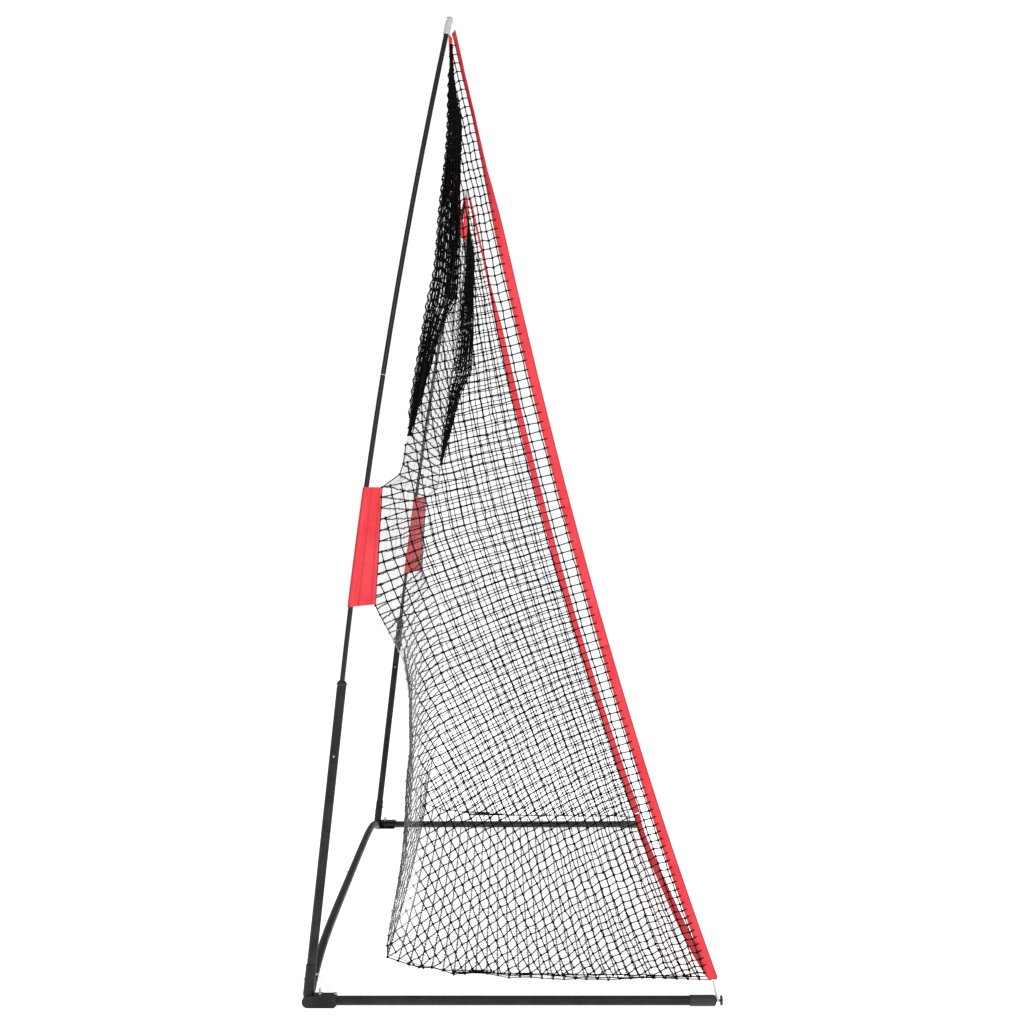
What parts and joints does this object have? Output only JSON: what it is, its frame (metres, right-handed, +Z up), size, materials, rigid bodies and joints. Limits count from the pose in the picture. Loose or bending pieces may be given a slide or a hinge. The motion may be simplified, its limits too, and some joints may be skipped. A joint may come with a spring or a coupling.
{
  "type": "pitching target net",
  "caption": "Freestanding pitching net: folding steel base with hinged front arms, bowed lift-out poles, and a black mesh bag with red border tape.",
  "frame": {"origin": "centre of the footprint on the floor, under the middle of the base", "axes": "+Z up, +X to the thrower's right seen from the mouth side being -Y; the mouth faces -Y and the uprights stand at +Y"},
  "size_m": [2.1302, 0.918, 2.1802],
  "materials": {
    "steel_tube": "black powder coat on steel tube",
    "bright_steel": "zinc plated steel",
    "black_plastic": "moulded black plastic",
    "pole_fibreglass": "black fibreglass",
    "grey_plastic": "moulded light grey plastic",
    "grey_webbing": "light grey woven webbing",
    "red_tape": "red woven polyester tape",
    "black_net": "black knotted twine, 25 mm mesh"
  },
  "bodies": {
    "base": {"corner_bracket_left": "steel_tube", "upright_tube_left": "steel_tube", "tube_top_bush_left": "black_plastic", "pole_stop_pin_left": "bright_steel", "arm_pivot_bolt_left": "bright_steel", "arm_pivot_nut_left": "bright_steel", "lock_wire_left": "bright_steel", "wire_anchor_left": "bright_steel", "rear_bar_left": "steel_tube", "border_left": "red_tape", "net_side_left": "black_net", "net_back_upper_left": "black_net", "corner_bracket_right": "steel_tube", "upright_tube_right": "steel_tube", "tube_top_bush_right": "black_plastic", "pole_stop_pin_right": "bright_steel", "arm_pivot_bolt_right": "bright_steel", "arm_pivot_nut_right": "bright_steel", "lock_wire_right": "bright_steel", "wire_anchor_right": "bright_steel", "rear_bar_right": "steel_tube", "border_right": "red_tape", "net_side_right": "black_net", "net_back_upper_right": "black_net", "rear_bar_coupler": "bright_steel", "border_top": "red_tape", "border_bottom": "red_tape", "net_back_lower": "black_net", "net_floor": "black_net"},
    "arm_left": {"front_arm_left": "steel_tube", "arm_tail_plug_left": "black_plastic", "arm_end_cap_left": "black_plastic", "bottom_loop_left": "grey_webbing"},
    "pole_left": {"pole_lower_left": "pole_fibreglass", "pole_ferrule_left": "bright_steel", "pole_upper_left": "pole_fibreglass", "pole_tip_left": "grey_plastic", "top_loop_left": "grey_webbing", "pole_sleeve_left": "red_tape"},
    "lock_left": {"lock_pin_left": "black_plastic"},
    "upright_snap_left": {"upright_button_left": "bright_steel"},
    "arm_right": {"front_arm_right": "steel_tube", "arm_tail_plug_right": "black_plastic", "arm_end_cap_right": "black_plastic", "bottom_loop_right": "grey_webbing"},
    "pole_right": {"pole_lower_right": "pole_fibreglass", "pole_ferrule_right": "bright_steel", "pole_upper_right": "pole_fibreglass", "pole_tip_right": "grey_plastic", "top_loop_right": "grey_webbing", "pole_sleeve_right": "red_tape"},
    "lock_right": {"lock_pin_right": "black_plastic"},
    "upright_snap_right": {"upright_button_right": "bright_steel"},
    "bar_snap": {"bar_button": "bright_steel"}
  },
  "joints": [
    {"name": "arm_fold_left", "type": "hinge", "parent": "base", "child": "arm_left", "pos_m": [-1.02, 0.4203, 0.0129], "axis": [0, 0, 1], "range_deg": [0, 90]},
    {"name": "pole_lift_left", "type": "slide", "parent": "base", "child": "pole_left", "axis": [-0.0447, -0.1112, 0.9928], "range_m": [0, 0.13]},
    {"name": "lock_pull_left", "type": "slide", "parent": "base", "child": "lock_left", "axis": [0, 0, 1], "range_m": [0, 0.006], "stiffness_N_per_m": 200, "springref_m": -0.002},
    {"name": "upright_press_left", "type": "slide", "parent": "base", "child": "upright_snap_left", "axis": [0, -1, 0], "range_m": [0, 0.004], "stiffness_N_per_m": 300, "springref_m": -0.002},
    {"name": "arm_fold_right", "type": "hinge", "parent": "base", "child": "arm_right", "pos_m": [1.02, 0.4203, 0.0129], "axis": [0, 0, -1], "range_deg": [0, 90]},
    {"name": "pole_lift_right", "type": "slide", "parent": "base", "child": "pole_right", "axis": [0.0447, -0.1112, 0.9928], "range_m": [0, 0.13]},
    {"name": "lock_pull_right", "type": "slide", "parent": "base", "child": "lock_right", "axis": [0, 0, 1], "range_m": [0, 0.006], "stiffness_N_per_m": 200, "springref_m": -0.002},
    {"name": "upright_press_right", "type": "slide", "parent": "base", "child": "upright_snap_right", "axis": [0, -1, 0], "range_m": [0, 0.004], "stiffness_N_per_m": 300, "springref_m": -0.002},
    {"name": "bar_press", "type": "slide", "parent": "base", "child": "bar_snap", "axis": [0, -1, 0], "range_m": [0, 0.004], "stiffness_N_per_m": 300, "springref_m": -0.002}
  ]
}
